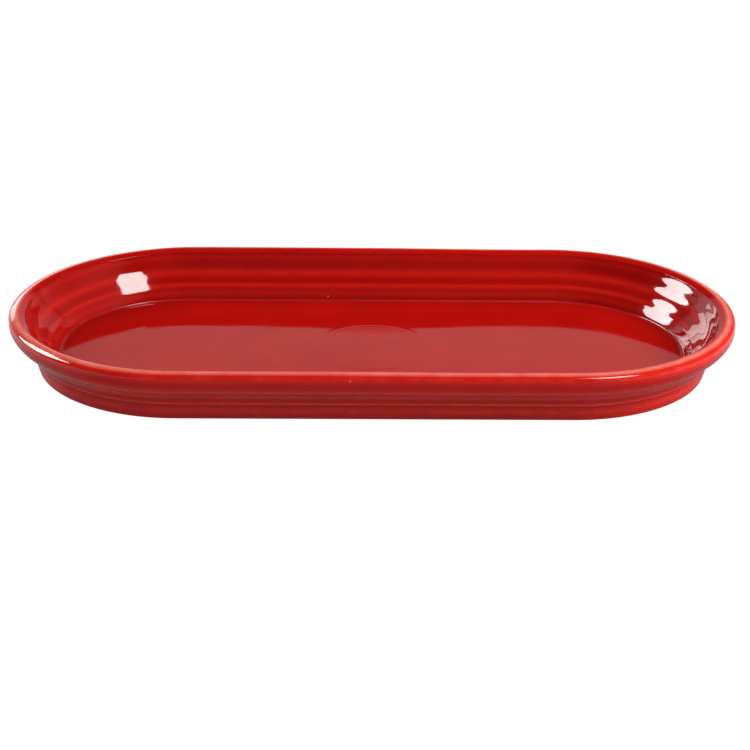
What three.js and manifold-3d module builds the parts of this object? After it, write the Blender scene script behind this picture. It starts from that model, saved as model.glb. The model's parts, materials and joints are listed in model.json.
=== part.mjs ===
// A long, shallow serving tray for bread, with straight sides and half-round ends: a fired white clay body
// under a red glaze. Millimetres, +Z up, X along the tray. The origin is the middle of the foot, on the
// table.

import * as THREE from "three";
import { mergeVertices } from "three/addons/utils/BufferGeometryUtils.js";
import Module from "manifold-3d";

const wasm = await Module();
wasm.setup();

// Overall size of the finished tray, over the glaze
const LENGTH = 305;
const WIDTH = 146;
const HEIGHT = 24.3;

// Glaze coat. The hairline under it keeps the body and the glaze two separate solids.
const GLAZE = 0.4;
const HAIRLINE = 0.02;
const BARE_STRIP = 0.3; // up from the table to where the glaze stops

// Flat floor of the well. Insets here and below are measured in from the rim.
const FLOOR_HEIGHT = 4.9;
const FLOOR_INSET = 20;

// Rings on the wall inside the well, as rounded steps that shrink towards the floor: the height of each
// ring's crest above the floor and of the groove under it. The lowest ring ends in the cove of the floor.
const RINGS = [
  { crest: 8.7, groove: 5.7 },
  { crest: 4.3, groove: 2.9 },
];
const LOW_CREST = 1.3;
const RING_RELIEF = 0.3; // how far crests stand in from the wall's mean slope, and grooves out
const WALL_FOOT_INSET = 18.5; // the mean slope, at the floor and at the groove under the lip
const WALL_TOP_INSET = 10;
const WALL_TOP_DROP = 6.8;

// Rolled lip: a full slope up from its throat inside, a crown, and an oval outside that runs on under the rim
const THROAT_INSET = 9.1;
const THROAT_DROP = 5.3;
const LIP_FULLNESS = 2.6;
const LIP_WIDTH = 7.9;
const LIP_HEIGHT = 10.6;
const LIP_WRAP = 80; // degrees of the oval below the rim

// Outside, from the lip down: a hollow, then an upper band stepped out over a lower one
const HOLLOW_WIDTH = 1.1;
const HOLLOW_HEIGHT = 1.4;
const UPPER_BAND_INSET = 7.7;
const UPPER_BAND_TOP = 11.6;
const UPPER_EDGE_INSET = 8.9;
const UPPER_EDGE_HEIGHT = 8;
const STEP_WIDTH = 1;
const STEP_HEIGHT = 0.7;
const LOWER_BAND_INSET = 11.3;
const BAND_BULGE = 0.2;

// Foot ring and the shallow recess inside it
const FOOT_WIDTH = 4.2;
const FOOT_CHAMFER = 0.4;
const RECESS = 1.3;
const RECESS_SLOPE = 1;

// Faint concentric rings in the middle of the floor
const CENTRE_RINGS = 5;
const CENTRE_RING_RADIUS = 14;
const CENTRE_RING_PITCH = 2.5;
const CENTRE_RING_WIDTH = 1.8;
const CENTRE_RING_RISE = 0.1;
const CENTRE_RING_ROOT = 0.1; // how far a ring is sunk in the floor that carries it

// Facets along a curve of the section, along the ringed wall, round an end and round a centre ring
const CURVE_STEPS = 4;
const WALL_STEPS = 20;
const END_STEPS = 16;
const CENTRE_STEPS = 36;

const RIM = WIDTH / 2;
const SPINE = (LENGTH - WIDTH) / 2; // half the straight run, and the centre of each round end

// A point of the section: so far in from the rim, so far up from the table
const at = (inset, height) => new THREE.Vector2(RIM - inset, height);

// The ringed wall inside the well, from the flat floor up to the throat of the lip, as one smooth curve
function ringWall(floorEdge, throat) {
  const foot = at(WALL_FOOT_INSET, FLOOR_HEIGHT);
  const top = at(WALL_TOP_INSET, HEIGHT - WALL_TOP_DROP);
  const out = new THREE.Vector2(top.y - foot.y, foot.x - top.x).setLength(RING_RELIEF);
  const onSlope = (rise) => foot.clone().lerp(top, rise / (top.y - foot.y));
  const points = [throat, top.clone().add(out)];
  for (const ring of RINGS) {
    points.push(onSlope(ring.crest).sub(out), onSlope(ring.groove).add(out));
  }
  points.push(onSlope(LOW_CREST).sub(out), floorEdge);
  return new THREE.SplineCurve(points.reverse());
}

// The lip: the slope up from its throat to the crown, the oval out to the rim, and on round underneath
function lipCurves(throat) {
  const radii = new THREE.Vector2(LIP_WIDTH / 2, LIP_HEIGHT / 2);
  const crown = at(radii.x, HEIGHT);
  const leaving = new THREE.Vector2(throat.x + LIP_FULLNESS / 2, throat.y + LIP_FULLNESS);
  const arriving = new THREE.Vector2(crown.x - LIP_FULLNESS, crown.y);
  const oval = (from, to) => new THREE.EllipseCurve(
    crown.x, crown.y - radii.y, radii.x, radii.y, from, to, true,
  );
  return [
    new THREE.CubicBezierCurve(throat, leaving, arriving, crown),
    oval(Math.PI / 2, 0),
    oval(0, -THREE.MathUtils.degToRad(LIP_WRAP)),
  ];
}

// A band of the outside wall between two points, swollen to the left of its direction of travel
function band(start, end) {
  const along = end.clone().sub(start);
  const left = new THREE.Vector2(-along.y, along.x).setLength(2 * BAND_BULGE);
  const middle = start.clone().lerp(end, 0.5).add(left);
  return new THREE.QuadraticBezierCurve(start, middle, end);
}

// The outside below the lip: the hollow, the upper band, its step and the lower band, down to the glaze line
function steppedWall(start) {
  const bandTop = at(UPPER_BAND_INSET, UPPER_BAND_TOP);
  const bandEdge = at(UPPER_EDGE_INSET, UPPER_EDGE_HEIGHT);
  const stepFoot = new THREE.Vector2(bandEdge.x - STEP_WIDTH, bandEdge.y - STEP_HEIGHT);
  const hollow = new THREE.Vector2(bandTop.x + HOLLOW_WIDTH, bandTop.y + HOLLOW_HEIGHT);
  return [
    new THREE.QuadraticBezierCurve(start, hollow, bandTop),
    band(bandTop, bandEdge),
    new THREE.LineCurve(bandEdge, stepFoot),
    band(stepFoot, at(LOWER_BAND_INSET, BARE_STRIP)),
  ];
}

// Points along a chain of curves, with each shared end once. A straight line needs none between its ends.
function trace(curves) {
  return curves.flatMap((curve, i) => {
    const steps = curve.isLineCurve ? 1 : CURVE_STEPS;
    return curve.getPoints(steps).slice(i === 0 ? 0 : 1);
  });
}

// The finished surface, from the middle of the floor over the lip and down the outside to the glaze line
function finishedSection() {
  const throat = at(THROAT_INSET, HEIGHT - THROAT_DROP);
  const wall = ringWall(at(FLOOR_INSET, FLOOR_HEIGHT), throat);
  const lip = lipCurves(throat);
  const outside = steppedWall(lip.at(-1).getPoint(1));
  const rest = trace([...lip, ...outside]).slice(1);
  return [new THREE.Vector2(0, FLOOR_HEIGHT), ...wall.getPoints(WALL_STEPS), ...rest];
}

// The same outline moved sideways, to the right of its direction of travel
function inset(points, distance) {
  const normals = points.slice(1).map((point, i) => {
    const along = point.clone().sub(points[i]).normalize();
    return new THREE.Vector2(along.y, -along.x);
  });
  return points.map((point, i) => {
    const before = normals[Math.max(i - 1, 0)];
    const after = normals[Math.min(i, normals.length - 1)];
    const bisector = before.clone().add(after).normalize();
    return point.clone().addScaledVector(bisector, distance / bisector.dot(after));
  });
}

// A section turned about Z, cut across the middle and drawn apart along X, so that each half turn becomes
// a round end and the cut becomes the two straight sides. The section starts and ends on the axis.
function drawnApart(section) {
  const columns = 2 * (END_STEPS + 1);
  const geometry = new THREE.LatheGeometry(section, columns);
  const position = geometry.attributes.position;
  for (let column = 0; column <= columns; column++) {
    const step = column % columns;
    const right = step <= END_STEPS;
    const turn = right ? step / END_STEPS : 1 + (step - END_STEPS - 1) / END_STEPS;
    const angle = Math.PI * (0.5 - turn);
    const centre = right ? SPINE : -SPINE;
    section.forEach((point, row) => {
      const x = centre + point.x * Math.cos(angle);
      position.setXYZ(column * section.length + row, x, point.x * Math.sin(angle), point.y);
    });
  }
  return toSolid(geometry);
}

function toSolid(geometry) {
  const bare = new THREE.BufferGeometry();
  bare.setAttribute("position", geometry.attributes.position);
  bare.setIndex(geometry.index);
  const merged = mergeVertices(bare);
  const vertProperties = new Float32Array(merged.attributes.position.array);
  const triVerts = new Uint32Array(merged.index.array);
  return new wasm.Manifold(new wasm.Mesh({ numProp: 3, vertProperties, triVerts }));
}

function toGeometry(solid) {
  const mesh = solid.getMesh();
  const geometry = new THREE.BufferGeometry();
  geometry.setAttribute("position", new THREE.BufferAttribute(mesh.vertProperties, 3));
  geometry.setIndex(new THREE.BufferAttribute(mesh.triVerts, 1));
  geometry.computeVertexNormals();
  return geometry;
}

// One low bead of the centre rings, standing on a floor at the given height
function centreRing(radius, floor) {
  const half = CENTRE_RING_WIDTH / 2;
  const bead = [
    new THREE.Vector2(radius - half, floor - CENTRE_RING_ROOT),
    new THREE.Vector2(radius + half, floor - CENTRE_RING_ROOT),
    new THREE.Vector2(radius + half, floor),
    new THREE.Vector2(radius, floor + CENTRE_RING_RISE),
    new THREE.Vector2(radius - half, floor),
  ];
  bead.push(bead[0].clone());
  return toSolid(new THREE.LatheGeometry(bead, CENTRE_STEPS).rotateX(Math.PI / 2));
}

function centreRings(floor) {
  const radii = Array.from({ length: CENTRE_RINGS }, (_, i) => CENTRE_RING_RADIUS + i * CENTRE_RING_PITCH);
  return radii.map((radius) => centreRing(radius, floor));
}

// The underside of the clay body, from under the glaze line across the foot ring to the middle of the recess
function underside(glazeLine) {
  const footOuter = glazeLine.x - FOOT_CHAMFER;
  const footInner = footOuter - FOOT_WIDTH;
  return [
    new THREE.Vector2(footOuter, 0),
    new THREE.Vector2(footInner, 0),
    new THREE.Vector2(footInner - RECESS_SLOPE, RECESS),
    new THREE.Vector2(0, RECESS),
  ];
}

// The clay body: the finished section less its glaze, closed by the bare foot ring and the recess
function chinaBody(upper) {
  const plain = drawnApart([...upper, ...underside(upper.at(-1))]);
  return centreRings(upper[0].y).reduce((body, ring) => body.add(ring), plain);
}

// The glaze over the well, the lip and the outside, down to the glaze line
function redGlaze(finished) {
  const under = inset(finished, GLAZE);
  const plain = drawnApart([...finished, ...under.toReversed()]);
  const raised = centreRings(finished[0].y).reduce((glaze, ring) => glaze.add(ring), plain);
  return centreRings(under[0].y).reduce((glaze, ring) => glaze.subtract(ring), raised);
}

// The patch of glaze in the recess, which stops as high above the table as the coat outside
function baseGlaze(upper) {
  const [, footInner, recessEdge, middle] = underside(upper.at(-1));
  const start = footInner.clone().lerp(recessEdge, BARE_STRIP / RECESS);
  const roof = [start, recessEdge, middle];
  const top = inset(roof, -HAIRLINE);
  const bottom = inset(roof, -HAIRLINE - GLAZE);
  return drawnApart([...top.toReversed(), ...bottom]);
}

const china = new THREE.MeshStandardMaterial({ color: 0xe6dccb, roughness: 0.6, metalness: 0 });
const red = new THREE.MeshStandardMaterial({ color: 0xa8120d, roughness: 0.12, metalness: 0 });

function piece(name, solid, material) {
  const mesh = new THREE.Mesh(toGeometry(solid), material);
  mesh.name = name;
  return mesh;
}

const finished = finishedSection();
const upper = inset(finished, GLAZE + HAIRLINE); // the clay surface under the glaze

const tray = new THREE.Group();
tray.add(piece("china_body", chinaBody(upper), china));
tray.add(piece("red_glaze", redGlaze(finished), red));
tray.add(piece("base_glaze", baseGlaze(upper), red));

export default tray;
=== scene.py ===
# %% [markdown]
# # A glazed bread tray
# The tray is one piece of fired china under a glossy red glaze: a long, shallow well with straight sides
# and half-round ends, a rolled lip, rings round the wall and a bare ring underneath that it stands on. The
# CAD model gives its exact size and place. Here the same pieces are made again with smooth surfaces, then
# get their finishes, a studio and a camera.

# %% Load the frame
import json
import math

import bmesh
import bpy
from mathutils import Matrix, Vector

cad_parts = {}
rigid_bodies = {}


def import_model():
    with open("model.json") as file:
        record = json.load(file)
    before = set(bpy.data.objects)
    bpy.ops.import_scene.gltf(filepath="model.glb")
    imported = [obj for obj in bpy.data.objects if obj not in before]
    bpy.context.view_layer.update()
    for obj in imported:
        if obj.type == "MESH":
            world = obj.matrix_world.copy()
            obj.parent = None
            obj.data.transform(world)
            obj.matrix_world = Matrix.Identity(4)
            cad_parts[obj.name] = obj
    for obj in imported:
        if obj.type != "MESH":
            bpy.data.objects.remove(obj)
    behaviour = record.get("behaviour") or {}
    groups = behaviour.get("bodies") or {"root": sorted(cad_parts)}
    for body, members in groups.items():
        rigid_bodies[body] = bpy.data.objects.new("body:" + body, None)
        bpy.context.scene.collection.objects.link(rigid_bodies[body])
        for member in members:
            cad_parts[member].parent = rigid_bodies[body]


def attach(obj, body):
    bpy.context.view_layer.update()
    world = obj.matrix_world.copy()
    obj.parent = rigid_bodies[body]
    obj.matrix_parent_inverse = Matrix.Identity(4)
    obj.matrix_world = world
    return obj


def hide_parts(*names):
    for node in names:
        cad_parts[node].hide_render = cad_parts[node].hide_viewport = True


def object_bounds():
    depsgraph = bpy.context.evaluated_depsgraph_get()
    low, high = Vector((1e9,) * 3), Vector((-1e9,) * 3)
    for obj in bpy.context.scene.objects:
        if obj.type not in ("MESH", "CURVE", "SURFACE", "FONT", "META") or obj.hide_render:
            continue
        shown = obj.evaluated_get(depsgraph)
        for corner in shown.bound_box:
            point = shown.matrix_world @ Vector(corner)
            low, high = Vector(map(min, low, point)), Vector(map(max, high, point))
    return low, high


MM = 0.001

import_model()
cad_low, cad_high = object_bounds()
cad_size = cad_high - cad_low
print("CAD box in mm:", [round(side / MM, 2) for side in cad_size])

# %% [markdown]
# ## The camera
# The photograph looks down on the long side from a little above. A camera is a point, a direction and a
# focal length, so it can be set by hand until the outline fits, or by an empty that it tracks. Here its
# angles and its distance are given and its axes worked out from them, because a slight roll and an
# off-centre frame are then plain numbers too.

# %% Aim the camera
PHOTO_SIZE = 750  # pixels, both ways
PHOTO_CENTRE = (372.18, 357.74)  # the pixel that the lens axis goes through
FOCAL_PIXELS = 1871.4
SENSOR_WIDTH = 36  # mm
CAMERA_ELEVATION = math.radians(23.61)
CAMERA_TURN = math.radians(-1.08)
CAMERA_ROLL = math.radians(0.72)
CAMERA_DISTANCE = 0.7995


def direction(turn, elevation):
    """A unit vector: turn is clockwise from straight behind the tray, seen from above."""
    level = math.cos(elevation)
    return Vector((math.sin(turn) * level, math.cos(turn) * level, math.sin(elevation)))


backwards = direction(math.pi - CAMERA_TURN, CAMERA_ELEVATION)
across = (-backwards).cross(Vector((0, 0, 1))).normalized()
axes = Matrix((across, backwards.cross(across), backwards)).transposed()
lens = bpy.data.cameras.new("camera")
lens.sensor_width = SENSOR_WIDTH
lens.lens = FOCAL_PIXELS * SENSOR_WIDTH / PHOTO_SIZE
lens.shift_x = 0.5 - PHOTO_CENTRE[0] / PHOTO_SIZE
lens.shift_y = PHOTO_CENTRE[1] / PHOTO_SIZE - 0.5
camera = bpy.data.objects.new("camera", lens)
camera.matrix_world = (
    Matrix.Translation(CAMERA_DISTANCE * backwards)
    @ axes.to_4x4()
    @ Matrix.Rotation(CAMERA_ROLL, 4, "Z")
)
bpy.context.scene.collection.objects.link(camera)
bpy.context.scene.camera = camera
print("camera at", [round(c, 3) for c in camera.location], "lens", round(lens.lens, 1), "mm")

# %% [markdown]
# ## The plan and the section
# Seen from above, the tray is a line swept out to an even width: every point of it is some distance out
# from a straight spine. Cut across, it is one outline, the same all the way round. So the whole form is a
# section and a path. A lathe can't make it, because of the straight sides, and a curve with a bevel object
# leaves poor faces at the ends. A short chain of edges that is spun round one end, drawn along a side, spun
# round the other end and drawn back gives clean rows of quads.

# %% Sizes of the plan
RIM = cad_size.y / 2  # how far the rim stands out from the spine
SPINE = (cad_size.x - cad_size.y) / 2  # half the spine's length


def spine_point(co):
    """The nearest point of the spine, at the height of the table."""
    return Vector((max(-SPINE, min(SPINE, co.x)), 0, 0))


def out_from_spine(co):
    """How far out from the spine a point is, seen from above."""
    return (co - spine_point(co)).to_2d().length


print("spine", round(2 * SPINE / MM, 1), "mm, rim", round(RIM / MM, 1), "mm out from it")

# %% [markdown]
# The section starts as straight lines between a few corners, each given by how far it lies in from the rim
# and how high above the table. A bevel on the corners then rounds the chain: wide where the glaze flows in
# a soft curve, narrow where a ring has a crisp edge. The corner where the lip turns under is bevelled by
# half of each of its edges, which makes it a quarter of an oval.

# %% Draw the section
FLOOR_HEIGHT = 4.9
GLAZE_LINE = 0.3
FLOOR_START = (27.0, FLOOR_HEIGHT)

# inset from the rim, height, reach of the rounding, in mm, from the floor up
RING_CORNERS = (
    (21.2, FLOOR_HEIGHT, 0.45),  # cove of the floor
    (20.1, 5.3, 0.25),  # edge of the floor
    (19.7, 6.2, 0.35),  # foot of the wall
    (19.1, 7.2, 0.55),  # low crest
    (18.05, 8.7, 0.6),  # low groove
    (17.2, 9.9, 0.25),  # middle crest
    (15.35, 11.6, 0.8),  # middle groove
    (13.5, 13.45, 0.85),  # high crest
    (10.45, 16.1, 1.9),  # wide groove under the lip
    (8.4, 19.9, 1.0),  # soft crest
    (7.25, 21.65, 0.9),  # last groove
)
LIP_CORNERS = (
    (6.7, 22.8, 0.05),  # inner edge
    (3.9, 24.45, 1.2),  # crown
    (0.0, 23.05, 1.15),  # outer side
)
LIP_TURN = (0.0, 17.0)  # where the lip turns under, rounded to a quarter of an oval

# from the hollow under the lip down to the table
BAND_CORNERS = (
    (6.6, 12.3, 1.6),  # hollow
    (7.95, 10.2, 0.9),  # swell of the upper band
    (8.75, 7.75, 0.35),  # edge of the upper band
    (9.9, 7.25, 0.3),  # foot of the step
    (10.25, 3.9, 2.5),  # swell of the lower band
)
SECTION_END = (11.3, GLAZE_LINE)
ROUND_SEGMENTS = 6
HALF_OF_EDGE = 50  # percent
MERGE = 5e-6


def draw_chain(bm, corners):
    """Vertices and edges through the corners, where the straight front meets the right end."""
    verts = [bm.verts.new((SPINE, inset * MM - RIM, height * MM)) for inset, height, *_ in corners]
    for start, end in zip(verts, verts[1:]):
        bm.edges.new((start, end))
    return verts


def round_corners(bm, verts, offset, offset_type, segments=ROUND_SEGMENTS):
    bmesh.ops.bevel(
        bm,
        geom=verts,
        offset=offset,
        offset_type=offset_type,
        affect="VERTICES",
        segments=segments,
        profile=0.5,
        material=-1,
    )


def draw_section(bm):
    """The finished surface, from the flat floor over the lip and down the outside to the glaze line."""
    rounded = (*RING_CORNERS, *LIP_CORNERS, LIP_TURN, *BAND_CORNERS)
    verts = draw_chain(bm, (FLOOR_START, *rounded, SECTION_END))
    named = list(zip(verts[1:], rounded))
    turned = [vert for vert, corner in named if corner == LIP_TURN]
    round_corners(bm, turned, HALF_OF_EDGE, "PERCENT")
    for vert, corner in named:
        if corner != LIP_TURN:
            round_corners(bm, [vert], corner[2] * MM, "OFFSET")
    bmesh.ops.remove_doubles(bm, verts=bm.verts, dist=MERGE)
    print("section:", len(rounded) + 2, "corners,", len(bm.verts), "points when rounded")


skin = bmesh.new()
draw_section(skin)

# %% [markdown]
# Spin with an angle of zero and a step of `dvec` is a straight extrusion in equal parts, so one helper
# carries the section all the way round with four spins. The last copy lands on the first, and merging
# doubles closes the ring.

# %% Sweep the section round the tray
END_STEPS = 64
RUN_STEPS = 24


def sweep_round(bm):
    geom = bm.verts[:] + bm.edges[:]
    for end in (SPINE, -SPINE):
        turn = bmesh.ops.spin(
            bm, geom=geom, cent=(end, 0, 0), axis=(0, 0, 1), angle=math.pi, steps=END_STEPS
        )
        side = bmesh.ops.spin(
            bm,
            geom=turn["geom_last"],
            axis=(0, 0, 1),
            angle=0,
            dvec=(-2 * end / RUN_STEPS, 0, 0),
            steps=RUN_STEPS,
        )
        geom = side["geom_last"]
    bmesh.ops.remove_doubles(bm, verts=bm.verts, dist=MERGE)
    bmesh.ops.dissolve_degenerate(bm, edges=bm.edges, dist=MERGE)


sweep_round(skin)
print("swept wall:", len(skin.verts), "vertices,", len(skin.faces), "faces")

# %% [markdown]
# ## The floor of the well
# The floor is flat apart from its middle, where the jigger's tool left a few rings so low that they show
# only in the shine, on a slight swell of the clay. Rings want a round mesh and the wall has an oblong one.
# So the middle is a disc spun from its own chain, and a bridge joins its edge to the wall's. The bridge's
# long edges are cut a few times, which gives the swell points to bend.

# %% Spin the middle of the floor
# in mm
FIRST_RING = 13.0
RING_PITCH = 2.4
RING_COUNT = 5
RING_RISE = 0.07
RING_SEGMENTS = 3
DISC_EDGE = 31.0


def draw_disc(bm):
    waves = [FIRST_RING + RING_PITCH * half / 2 for half in range(2 * RING_COUNT + 1)]
    corners = [(radius, RING_RISE * (half % 2)) for half, radius in enumerate(waves)]
    stops = [(0, 0), *corners, (DISC_EDGE, 0)]
    verts = [bm.verts.new((radius * MM, 0, (FLOOR_HEIGHT + rise) * MM)) for radius, rise in stops]
    for start, end in zip(verts, verts[1:]):
        bm.edges.new((start, end))
    round_corners(bm, verts[1:-1], RING_PITCH / 4 * MM, "OFFSET", segments=RING_SEGMENTS)
    bmesh.ops.remove_doubles(bm, verts=bm.verts, dist=MERGE)


disc = bmesh.new()
draw_disc(disc)
bmesh.ops.spin(
    disc,
    geom=disc.verts[:] + disc.edges[:],
    axis=(0, 0, 1),
    angle=-2 * math.pi,
    steps=2 * (END_STEPS + RUN_STEPS),  # as many as the wall has
    use_merge=True,
)
bmesh.ops.remove_doubles(disc, verts=disc.verts, dist=MERGE)
bmesh.ops.dissolve_degenerate(disc, edges=disc.edges, dist=MERGE)
print("middle of the floor:", len(disc.faces), "faces,", RING_COUNT, "rings")

# %% Bridge the middle to the wall
BRIDGE_CUTS = 7
FLOOR_MARGIN = 1.0  # mm over or under the floor that still count as floor

disc_mesh = bpy.data.meshes.new("floor_middle")
disc.to_mesh(disc_mesh)
disc.free()
skin.from_mesh(disc_mesh)
bpy.data.meshes.remove(disc_mesh)
floor_gap = [
    edge
    for edge in skin.edges
    if edge.is_boundary and all(vert.co.z > (FLOOR_HEIGHT - FLOOR_MARGIN) * MM for vert in edge.verts)
]
bridge = bmesh.ops.bridge_loops(skin, edges=floor_gap)
spokes = [edge for edge in bridge["edges"] if edge not in floor_gap]
bmesh.ops.subdivide_edges(skin, edges=spokes, cuts=BRIDGE_CUTS, use_grid_fill=True)
print("floor:", len(floor_gap), "edges bridged by", len(bridge["faces"]), "faces")

# %% [markdown]
# Nothing fired in a kiln stays quite true. The middle of the floor has its slight swell, and the lip dips
# by less than half a millimetre here and there. Both are smooth moves of the vertices, downwards at the lip
# so that the tray never leaves its CAD box.

# %% Swell the floor and settle the lip
# in mm
SWELL_HEIGHT = 0.5
SWELL_RADIUS = 50.0
WALL_START = 52.0  # out from the spine

# place along the tray, side of it (1 is the back), half width and depth
DIPS = (
    (62.0, 1, 40.0, 0.42),
    (-120.0, 1, 30.0, 0.25),
    (38.0, -1, 30.0, 0.2),
)


def bell(distance):
    return math.exp(-distance * distance)


for vert in skin.verts:
    x, y, z = vert.co / MM
    out = out_from_spine(vert.co) / MM
    spread = (x * x + y * y) / SWELL_RADIUS**2
    if spread < 1 and z < FLOOR_HEIGHT + FLOOR_MARGIN:
        vert.co.z += SWELL_HEIGHT * (1 - spread) ** 2 * MM
    height_share = max(0, (z - FLOOR_HEIGHT) / (cad_size.z / MM - FLOOR_HEIGHT))
    for place, side, width, depth in DIPS:
        if side * y > 0 and out > WALL_START:
            vert.co.z -= depth * bell((x - place) / width) * height_share * MM

bmesh.ops.recalc_face_normals(skin, faces=skin.faces)
highest = max(skin.faces, key=lambda face: face.calc_center_median().z)
if highest.normal.z < 0:
    bmesh.ops.reverse_faces(skin, faces=skin.faces)
open_edges = sum(edge.is_boundary for edge in skin.edges)
print("skin:", len(skin.faces), "faces,", open_edges, "open edges, all at the glaze line")

# %% [markdown]
# ## Where the glaze is thin and where it pools, with painted light and shade
# Molten glaze draws back from sharp edges and gathers in hollows. Over the crown of the lip and the edge of
# the upper band the coat is thin and the pale clay lightens it. In the grooves it is thick and dark. The
# same
# marks also paint light and shade: a brighter red as painted light on the shoulder and underside of the lip,
# the slopes and ledges of the wall, the lower band and just above the foot, a painted highlight on the
# crown, and a darker red as painted shade in the cove, on the floor near the wall, in the hollow under the
# lip and at the foot of the step. That could be painted by hand, or read from the curvature, but curvature
# also lights up every small step. A few named places on the section, each with a width, put it just where
# the tray has it. The values ride on the vertices as two attributes that the material reads.

# %% Mark the thin and the pooled glaze, with painted light and painted shade
# thin glaze at the crown and the edges; the same marks are painted light on the shoulder and underside of
# the lip, the wall's slopes and ledges, the lower band and just above the foot, and a painted highlight on
# the crown
# inset from the rim, height, width across the surface, strength
THIN_AND_LIT_PLACES = (
    (2.8, 24.1, 1.2, 1.0),  # crown of the lip
    (0.4, 22.4, 1.8, 0.25),  # shoulder of the lip
    (4.5, 13.9, 2.4, 0.06),  # underside of the lip
    (8.75, 7.7, 0.45, 0.5),  # edge of the upper band
    (10.3, 4.0, 2.4, 0.25),  # swell of the lower band
    (11.3, 0.3, 0.6, 0.3),  # just above the foot
    (7.7, 21.2, 1.0, 0.06),  # under the lip's inner edge
    (11.8, 15.1, 1.5, 0.16),  # slope over the high crest
    (16.3, 10.75, 0.9, 0.22),  # ledge over the middle crest
    (18.6, 7.9, 1.0, 0.07),  # over the low crest
    (20.05, 5.4, 0.4, 0.05),  # edge of the floor
)
# pooled glaze in the grooves; the same marks are painted shade in the cove, on the floor near the wall, in
# the hollow under the lip and at the foot of the step
POOL_AND_SHADE_PLACES = (
    (9.0, 18.8, 1.6, 0.2),  # groove under the lip
    (14.5, 12.5, 1.0, 0.35),  # riser under the high crest
    (19.6, 6.3, 0.9, 0.3),  # foot of the wall
    (20.7, 5.1, 1.2, 0.6),  # cove of the floor
    (22.5, 4.9, 5.0, 0.35),  # floor near the wall
    (6.6, 12.4, 1.2, 0.15),  # hollow under the lip
    (9.9, 7.2, 0.6, 0.8),  # foot of the step
)


def strength_at(vert, places):
    spot = Vector((RIM - out_from_spine(vert.co), vert.co.z)) / MM
    return max(
        strength * bell((spot - Vector((inset, height))).length / width)
        for inset, height, width, strength in places
    )


def mark_glaze_light_and_shade(bm):
    for name, places in (("glaze_thin_and_painted_light", THIN_AND_LIT_PLACES), ("glaze_pool_and_painted_shade", POOL_AND_SHADE_PLACES)):
        layer = bm.verts.layers.float.new(name)
        for vert in bm.verts:
            vert[layer] = strength_at(vert, places)


mark_glaze_light_and_shade(skin)
print("marked", len(THIN_AND_LIT_PLACES), "thin places and", len(POOL_AND_SHADE_PLACES), "pools")


# %% [markdown]
# ## The glaze coat
# The glaze is a skin of glass less than half a millimetre thick. A Solidify modifier could thicken the
# finished surface, but the clay under it needs the same drawn-in surface too. So one helper moves a copy in
# along its normals, as Shrink/Fatten does in the editor. Turned over and bridged to the first at the glaze
# line, that copy closes the shell.

# %% Make the glaze coat
GLAZE = 0.4 * MM
SHARP_ANGLE = math.radians(50)


def to_piece(bm, name):
    """A smooth-shaded object at the origin, with hard edges kept where faces meet at a sharp angle."""
    mesh = bpy.data.meshes.new(name)
    bm.to_mesh(mesh)
    bm.free()
    mesh.shade_smooth()
    mesh.set_sharp_from_angle(angle=SHARP_ANGLE)
    piece = bpy.data.objects.new(name, mesh)
    bpy.context.scene.collection.objects.link(piece)
    print(name, "has", len(mesh.polygons), "faces")
    return piece


def draw_in(bm, verts, depth):
    bm.normal_update()
    moved = [(vert, vert.co - depth * vert.normal) for vert in verts]
    for vert, place in moved:
        vert.co = place


def parts(geom, kind):
    return [part for part in geom if isinstance(part, kind)]


def count_open(bm):
    return sum(not edge.is_manifold for edge in bm.edges)


coat = skin.copy()
under = bmesh.ops.duplicate(coat, geom=coat.verts[:] + coat.edges[:] + coat.faces[:])["geom"]
draw_in(coat, parts(under, bmesh.types.BMVert), GLAZE)
bmesh.ops.reverse_faces(coat, faces=parts(under, bmesh.types.BMFace))
bmesh.ops.bridge_loops(coat, edges=[edge for edge in coat.edges if edge.is_boundary])
bmesh.ops.recalc_face_normals(coat, faces=coat.faces)
print("coat:", count_open(coat), "open edges")
glaze_coat = to_piece(coat, "glaze_coat")

# %% [markdown]
# ## The fired body
# Under the glaze is the clay itself, and it shows only as the bare ring that the tray stands on. Its upper
# surface is the finished one, drawn in by the thickness of the glaze and a hairline. From the edge of that,
# the open loop is extruded four times: down to the table, in across the foot ring, up into the recess, and
# in to the spine.

# %% Make the fired body
HAIRLINE = 0.02 * MM
FOOT_CHAMFER = 0.4 * MM
FOOT_WIDTH = 4.2 * MM
RECESS_SLOPE = 1.0 * MM
RECESS_HEIGHT = 1.3 * MM
SPINE_MERGE = 4 * MERGE


def extrude_loop(bm, edges, inwards, height):
    """Extrude an open loop, draw it in towards the spine, and set its height above the table."""
    grown = bmesh.ops.extrude_edge_only(bm, edges=edges)["geom"]
    for vert in parts(grown, bmesh.types.BMVert):
        root = spine_point(vert.co)
        offset = (vert.co - root).to_2d()
        offset = offset.normalized() * max(0, offset.length - inwards)
        vert.co = (root.x + offset.x, root.y + offset.y, height)
    return parts(grown, bmesh.types.BMEdge)


body = skin.copy()
skin.free()
draw_in(body, body.verts, GLAZE + HAIRLINE)
loop = [edge for edge in body.edges if edge.is_boundary]
foot_steps = (
    (FOOT_CHAMFER, 0),
    (FOOT_WIDTH, 0),
    (RECESS_SLOPE, RECESS_HEIGHT),
    (RIM, RECESS_HEIGHT),
)
for inwards, height in foot_steps:
    loop = extrude_loop(body, loop, inwards, height)
spine_verts = list({vert for edge in loop for vert in edge.verts})
bmesh.ops.remove_doubles(body, verts=spine_verts, dist=SPINE_MERGE)
bmesh.ops.recalc_face_normals(body, faces=body.faces)
print("body:", count_open(body), "open edges")
fired_body = to_piece(body, "fired_body")

# %% [markdown]
# ## The glaze in the recess
# The recess inside the foot ring is glazed too, and the wiped foot parts that patch from the rest. It is a
# plate with a turned-down edge. Its section is a chain of a few corners that starts and ends at the spine,
# swept like the wall's.

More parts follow.
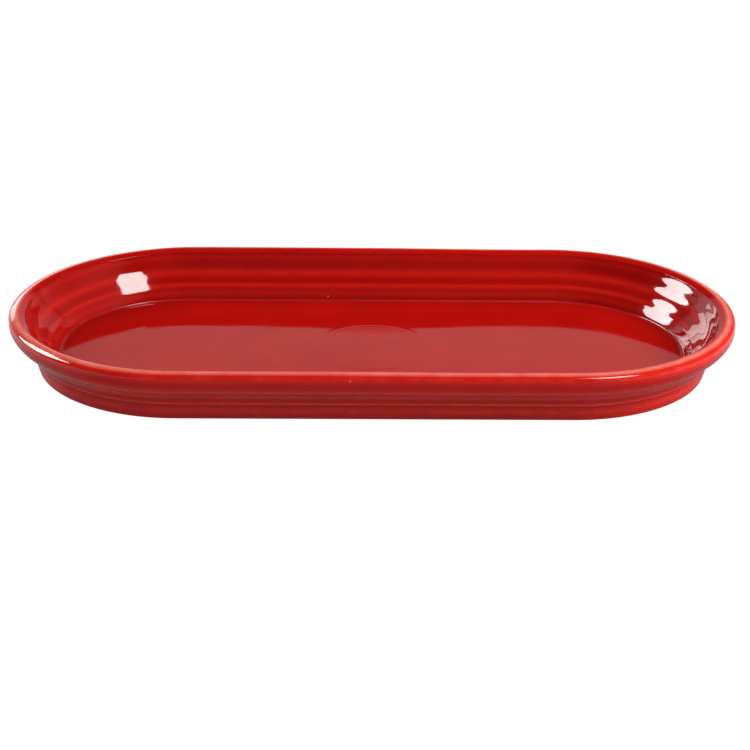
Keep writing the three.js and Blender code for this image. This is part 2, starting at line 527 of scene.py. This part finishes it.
# %% Make the patch of glaze underneath
# in mm
FOOT_INNER = 16.3  # inset of the foot ring's inner edge
PATCH_ROOF = 1.28
PATCH_FLOOR = 0.88
PATCH_EDGE = 0.06

patch = bmesh.new()
patch_corners = (
    (RIM / MM, PATCH_ROOF),
    (FOOT_INNER + 1.02, PATCH_ROOF),
    (FOOT_INNER + 0.26, GLAZE_LINE),
    (FOOT_INNER + 0.58, PATCH_EDGE),
    (FOOT_INNER + 1.22, PATCH_FLOOR),
    (RIM / MM, PATCH_FLOOR),
)
draw_chain(patch, patch_corners)
sweep_round(patch)
bmesh.ops.recalc_face_normals(patch, faces=patch.faces)
print("patch:", count_open(patch), "open edges")
base_patch = to_piece(patch, "base_patch")

# %% [markdown]
# ## The red glaze
# A coloured glaze is glass over clay: its red comes from below and its shine from the top, so a Principled
# shader with a low roughness and the refractive index of glass gives both. On top of that comes what the
# kiln leaves: the thin and pooled places, a faint mottle, a slow unevenness that bends reflections, a few
# pinholes, and a duller skin on the deepest pools. The thin and pooled places also carry painted light and
# painted shade: a brighter red and a coral painted highlight where the surface faces the light, and a darker
# red as painted shade in the cove and under the lip. All of it reads Object coordinates or the attributes,
# so it stays on the tray from any side. A few helpers keep the node code short.

# %% Start the red glaze
def new_material(name):
    material = bpy.data.materials.new(name)
    material.use_nodes = True
    return material, material.node_tree, material.node_tree.nodes["Principled BSDF"]


def add_node(tree, kind, inputs=None, **settings):
    """A new node. An input is linked if it is another node's output, and set if it is a plain value."""
    node = tree.nodes.new(kind)
    for key, value in settings.items():
        setattr(node, key, value)
    for key, value in (inputs or {}).items():
        if isinstance(value, bpy.types.NodeSocket):
            tree.links.new(value, node.inputs[key])
        else:
            node.inputs[key].default_value = value
    return node


def object_place(tree):
    return add_node(tree, "ShaderNodeTexCoord").outputs["Object"]


def attribute(tree, name):
    return add_node(tree, "ShaderNodeAttribute", attribute_name=name).outputs["Fac"]


def calculate(tree, operation, *values):
    return add_node(tree, "ShaderNodeMath", dict(enumerate(values)), operation=operation).outputs[0]


red_glaze, tree, shader = new_material("red_glaze")
place = object_place(tree)
thin_and_lit = attribute(tree, "glaze_thin_and_painted_light")
pool_and_shade = attribute(tree, "glaze_pool_and_painted_shade")
for piece in (glaze_coat, base_patch):
    piece.data.materials.append(red_glaze)
print("started", red_glaze.name, "with", len(tree.nodes), "nodes")

# %% Colour the red glaze
# the pooled red is deeper glaze and also painted shade; the bright red is thinner glaze and also painted
# light; the coral is the thinnest glaze and also a painted highlight on the crown
RED = (0.25, 0.0021, 0.0012, 1)
RED_MOTTLED = (0.275, 0.003, 0.0016, 1)
RED_POOLED_AND_SHADED = (0.19, 0.0016, 0.001, 1)
RED_THIN_AND_LIT = (0.42, 0.009, 0.005, 1)
RED_THIN_AND_HIGHLIGHT = (0.5, 0.12, 0.085, 1)
PINHOLE_PINK = (0.5, 0.16, 0.13, 1)


def mix_colours(tree, factor, first, second):
    """The first colour where the factor is 0, the second where it is 1."""
    sockets = {0: factor, 6: first, 7: second}  # several sockets of the node share a name
    return add_node(tree, "ShaderNodeMix", sockets, data_type="RGBA").outputs[2]


def ramp_between(tree, value, low, high, start=0.0, end=1.0):
    """A value carried from the range low..high to start..end, and held there outside it."""
    inputs = {"Value": value, "From Min": low, "From Max": high, "To Min": start, "To Max": end}
    return add_node(tree, "ShaderNodeMapRange", inputs).outputs["Result"]


def noise(tree, place, scale, detail=2.0):
    inputs = {"Vector": place, "Scale": scale, "Detail": detail}
    return add_node(tree, "ShaderNodeTexNoise", inputs).outputs["Fac"]


mottle = ramp_between(tree, noise(tree, place, scale=55, detail=4), low=0.35, high=0.7)
colour = mix_colours(tree, mottle, RED, RED_MOTTLED)
# darker red where the glaze pools and where shade is painted
colour = mix_colours(tree, pool_and_shade, colour, RED_POOLED_AND_SHADED)
cloud = noise(tree, place, scale=140, detail=3)
uneven = ramp_between(tree, cloud, low=0.3, high=0.7, start=0.75, end=1.1)
thin_and_lit_here = calculate(tree, "MULTIPLY", thin_and_lit, uneven)
# brighter red, then coral, where the glaze is thin and where light and a highlight on the crown are painted
colour = mix_colours(tree, ramp_between(tree, thin_and_lit_here, low=0, high=0.25), colour, RED_THIN_AND_LIT)
colour = mix_colours(tree, ramp_between(tree, thin_and_lit_here, low=0.2, high=1), colour, RED_THIN_AND_HIGHLIGHT)

cells = add_node(tree, "ShaderNodeTexVoronoi", {"Vector": place, "Scale": 110.0})
rare = ramp_between(tree, cells.outputs["Color"], low=0.86, high=0.9)
dot = ramp_between(tree, cells.outputs["Distance"], low=0.02, high=0.045, start=1, end=0)
pinhole = calculate(tree, "MULTIPLY", rare, dot)
colour = mix_colours(tree, pinhole, colour, PINHOLE_PINK)
tree.links.new(colour, shader.inputs["Base Color"])
print("red glaze has its colour:", len(tree.nodes), "nodes")

# %% Give the red glaze its shine
GLASS_IOR = 1.5

shader.inputs["IOR"].default_value = GLASS_IOR
smear = noise(tree, place, scale=90, detail=3)
shine = ramp_between(tree, smear, low=0.3, high=0.7, start=0.04, end=0.08)
dulled = ramp_between(tree, pool_and_shade, low=0.36, high=0.55, start=0, end=0.25)
tree.links.new(calculate(tree, "ADD", shine, dulled), shader.inputs["Roughness"])
waves = noise(tree, place, scale=38, detail=1)
ripple = add_node(tree, "ShaderNodeBump", {"Height": waves, "Strength": 0.06, "Distance": 0.001})
pitted = add_node(
    tree,
    "ShaderNodeBump",
    {"Height": pinhole, "Strength": 0.4, "Distance": 0.0002, "Normal": ripple.outputs["Normal"]},
    invert=True,
)
tree.links.new(pitted.outputs["Normal"], shader.inputs["Normal"])
print("red glaze:", len(tree.nodes), "nodes")

# %% [markdown]
# ## The bare clay
# The foot was wiped clean before firing, so it is dull, slightly warm and a little gritty, with darker iron
# specks. Noises of different scales give the tint, the specks and the grit.

# %% Mix the bare clay
CLAY = (0.72, 0.63, 0.5, 1)
CLAY_DULL = (0.6, 0.5, 0.38, 1)
IRON = (0.22, 0.12, 0.07, 1)
CLAY_ROUGHNESS = 0.75

bare_clay, tree, shader = new_material("bare_clay")
place = object_place(tree)
tint = ramp_between(tree, noise(tree, place, scale=70, detail=4), low=0.35, high=0.65)
specks = ramp_between(tree, noise(tree, place, scale=1400, detail=1), low=0.7, high=0.76)
colour = mix_colours(tree, tint, CLAY, CLAY_DULL)
colour = mix_colours(tree, specks, colour, IRON)
tree.links.new(colour, shader.inputs["Base Color"])
shader.inputs["Roughness"].default_value = CLAY_ROUGHNESS
grit = noise(tree, place, scale=2600, detail=3)
rough = add_node(tree, "ShaderNodeBump", {"Height": grit, "Strength": 0.35, "Distance": 0.0002})
tree.links.new(rough.outputs["Normal"], shader.inputs["Normal"])
fired_body.data.materials.append(bare_clay)
print("bare clay:", len(tree.nodes), "nodes")

# %% [markdown]
# ## The studio
# Gloss shows a room as it is, so the two softboxes, the pale walls and a bright strip behind have the place,
# the shape and the brightness of their reflections in the glaze. The matte colour under the gloss only knows
# how much light comes from where, so soft glows that no reflection shows light it apart. The wall behind is
# four panels in one place, each reaching less far to the right, so that it fades out there. An area light's
# power is its brightness times pi times its area.

# %% Hang the lights
# name, turn and elevation in degrees, distance, width and height in metres, brightness
GLOWS = (
    ("key_glow", 100, 40, 1.1, 0.6, 0.6, 19.3),
    ("left_glow", -66, 30, 1.1, 0.6, 0.6, 11.5),
    ("right_glow", 105, 6, 1.4, 1.0, 0.5, 2.5),
    ("front_glow", 180, 50, 1.1, 0.6, 0.6, 2.5),
)
LEFT_SOFTBOX = ("left_softbox", -63.2, 33.9, 1.1, 0.66, 0.59, 16)
RIGHT_SOFTBOX = ("right_softbox", 112.9, 63.8, 1.1, 0.525, 0.295, 17)
RIGHT_WALL = ("right_wall", 80, 34, 1.5, 2.18, 1.6, 0.12)
LEFT_WALL = ("left_wall", -52, 8, 1.6, 2.0, 0.5, 0.4)
BACK_STRIP = ("back_strip", -22, 13, 1.5, 0.62, 0.32, 2.5)

# the wall behind: how far its panels reach to the left and to the right, in degrees from straight behind
BACK_WALL_LEFT = 45
BACK_WALL_RIGHT = (15, 27, 39, 51)
BACK_WALL_ELEVATION = 16
BACK_WALL_DISTANCE = 1.5
BACK_WALL_HEIGHT = 0.8
BACK_PANEL_BRIGHTNESS = 0.09


def hang_light(
    name,
    turn,
    elevation,
    distance,
    width,
    height,
    brightness,
    shape="RECTANGLE",
    roll=0,
    matte=True,
    shine=True,
):
    """An area light that faces the tray, for its matte colour, its shine or both."""
    lamp = bpy.data.lights.new(name, "AREA")
    lamp.shape = shape
    lamp.size = width
    lamp.size_y = height
    area = width * height * (math.pi / 4 if shape == "ELLIPSE" else 1)
    lamp.energy = brightness * math.pi * area
    light = bpy.data.objects.new(name, lamp)
    towards = direction(math.radians(turn), math.radians(elevation))
    facing = towards.to_track_quat("Z", "Y").to_matrix().to_4x4()
    light.matrix_world = (
        Matrix.Translation(distance * towards) @ facing @ Matrix.Rotation(math.radians(roll), 4, "Z")
    )
    light.visible_camera = False
    light.visible_diffuse = matte
    light.visible_glossy = shine
    bpy.context.scene.collection.objects.link(light)


hang_light(*LEFT_SOFTBOX, shape="ELLIPSE", matte=False)
hang_light(*RIGHT_SOFTBOX, roll=54, matte=False)
for glow in GLOWS:
    hang_light(*glow, shine=False)
for right in BACK_WALL_RIGHT:
    half = (BACK_WALL_LEFT + right) / 2
    hang_light(
        "back_wall",
        right - half,
        BACK_WALL_ELEVATION,
        BACK_WALL_DISTANCE,
        2 * BACK_WALL_DISTANCE * math.tan(math.radians(half)),
        BACK_WALL_HEIGHT,
        BACK_PANEL_BRIGHTNESS,
    )
hang_light(*RIGHT_WALL)
hang_light(*LEFT_WALL)
hang_light(*BACK_STRIP, matte=False)

# %% Dim the room
ROOM_GREY = 0.03

world = bpy.data.worlds.new("room")
bpy.context.scene.world = world
world.use_nodes = True
background = world.node_tree.nodes["Background"]
background.inputs["Color"].default_value = (ROOM_GREY, ROOM_GREY, ROOM_GREY, 1)
bpy.context.scene.view_settings.view_transform = "Standard"
print("room:", ROOM_GREY, "grey")

# %% [markdown]
# The table does three jobs, with three round sheets in one place. The first lights only the matte colour: it
# bounces light and also glows itself, more at the right, as painted bounce light. The second only shows in
# the gloss: a glowing sheet, a painted reflection of the table, darker close to the tray, where a real table
# lies in its shade. The third is all that the camera meets: plain white, bright enough to keep no more than
# a breath of shadow. It turns up at its edge, so that a low view still looks onto white.

# %% Lay the floor
TABLE_RADIUS = 2.0
TABLE_SIDES = 96
SWEEP_HEIGHT = 2.0
SWEEP_RADIUS = 3.0


def lay_sheet(name, turned_up=False, matte=False, shine=False, camera=False):
    """A round sheet that only some kinds of ray meet."""
    bm = bmesh.new()
    bmesh.ops.create_circle(bm, cap_ends=True, segments=TABLE_SIDES, radius=TABLE_RADIUS)
    if turned_up:
        edge = [edge for edge in bm.edges if edge.is_boundary]
        grown = bmesh.ops.extrude_edge_only(bm, edges=edge)["geom"]
        rim = parts(grown, bmesh.types.BMVert)
        bmesh.ops.scale(bm, verts=rim, vec=(SWEEP_RADIUS / TABLE_RADIUS,) * 2 + (1,))
        bmesh.ops.translate(bm, verts=rim, vec=(0, 0, SWEEP_HEIGHT))
    sheet = to_piece(bm, name)
    sheet.visible_diffuse = matte
    sheet.visible_glossy = shine
    sheet.visible_camera = camera
    sheet.visible_shadow = matte
    return sheet


def dull_white(name, white, glow=0.0):
    material, tree, shader = new_material(name)
    shader.inputs["Base Color"].default_value = (white, white, white, 1)
    shader.inputs["Roughness"].default_value = 1
    shader.inputs["Specular IOR Level"].default_value = 0
    shader.inputs["Emission Color"].default_value = (1, 1, 1, 1)
    shader.inputs["Emission Strength"].default_value = glow
    return material, tree, shader


def along_tray(tree):
    return add_node(tree, "ShaderNodeSeparateXYZ", {"Vector": object_place(tree)}).outputs["X"]


# painted bounce light: the table sheet glows itself, brighter towards the right
table = lay_sheet("table", matte=True)
table_white, tree, shader = dull_white("white_table", white=0.6)
painted_bounce_glow = ramp_between(tree, along_tray(tree), low=0.1, high=0.35, start=0.5, end=2.2)
tree.links.new(painted_bounce_glow, shader.inputs["Emission Strength"])
table.data.materials.append(table_white)

# painted reflection: a glowing sheet seen only in the gloss, dimmer near the tray as painted shade
shine_sheet = lay_sheet("table_in_the_shine", shine=True)
shine_white, tree, shader = dull_white("table_shine", white=0.02)
aside = calculate(tree, "ABSOLUTE", along_tray(tree))
shine_glow = ramp_between(tree, aside, low=0.13, high=0.32, start=0.2, end=1.3)
tree.links.new(shine_glow, shader.inputs["Emission Strength"])
shine_sheet.data.materials.append(shine_white)

floor = lay_sheet("floor", turned_up=True, camera=True)
floor_white, tree, shader = dull_white("white_floor", white=0.06, glow=1.0)
floor.data.materials.append(floor_white)
print("sheets: table, its reflection and the floor the camera sees")

# %% [markdown]
# ## Joining the frame
# Each new piece stands for one CAD node, hides it and rides on the tray's only body; the finish named
# beside it is not used.

# %% Hand over to the frame
for piece, node, finish in (
    (fired_body, "china_body", "bare_china"),
    (glaze_coat, "red_glaze", "red_glaze"),
    (base_patch, "base_glaze", "red_glaze"),
):
    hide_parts(node)
    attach(piece, "root")

bpy.context.view_layer.update()
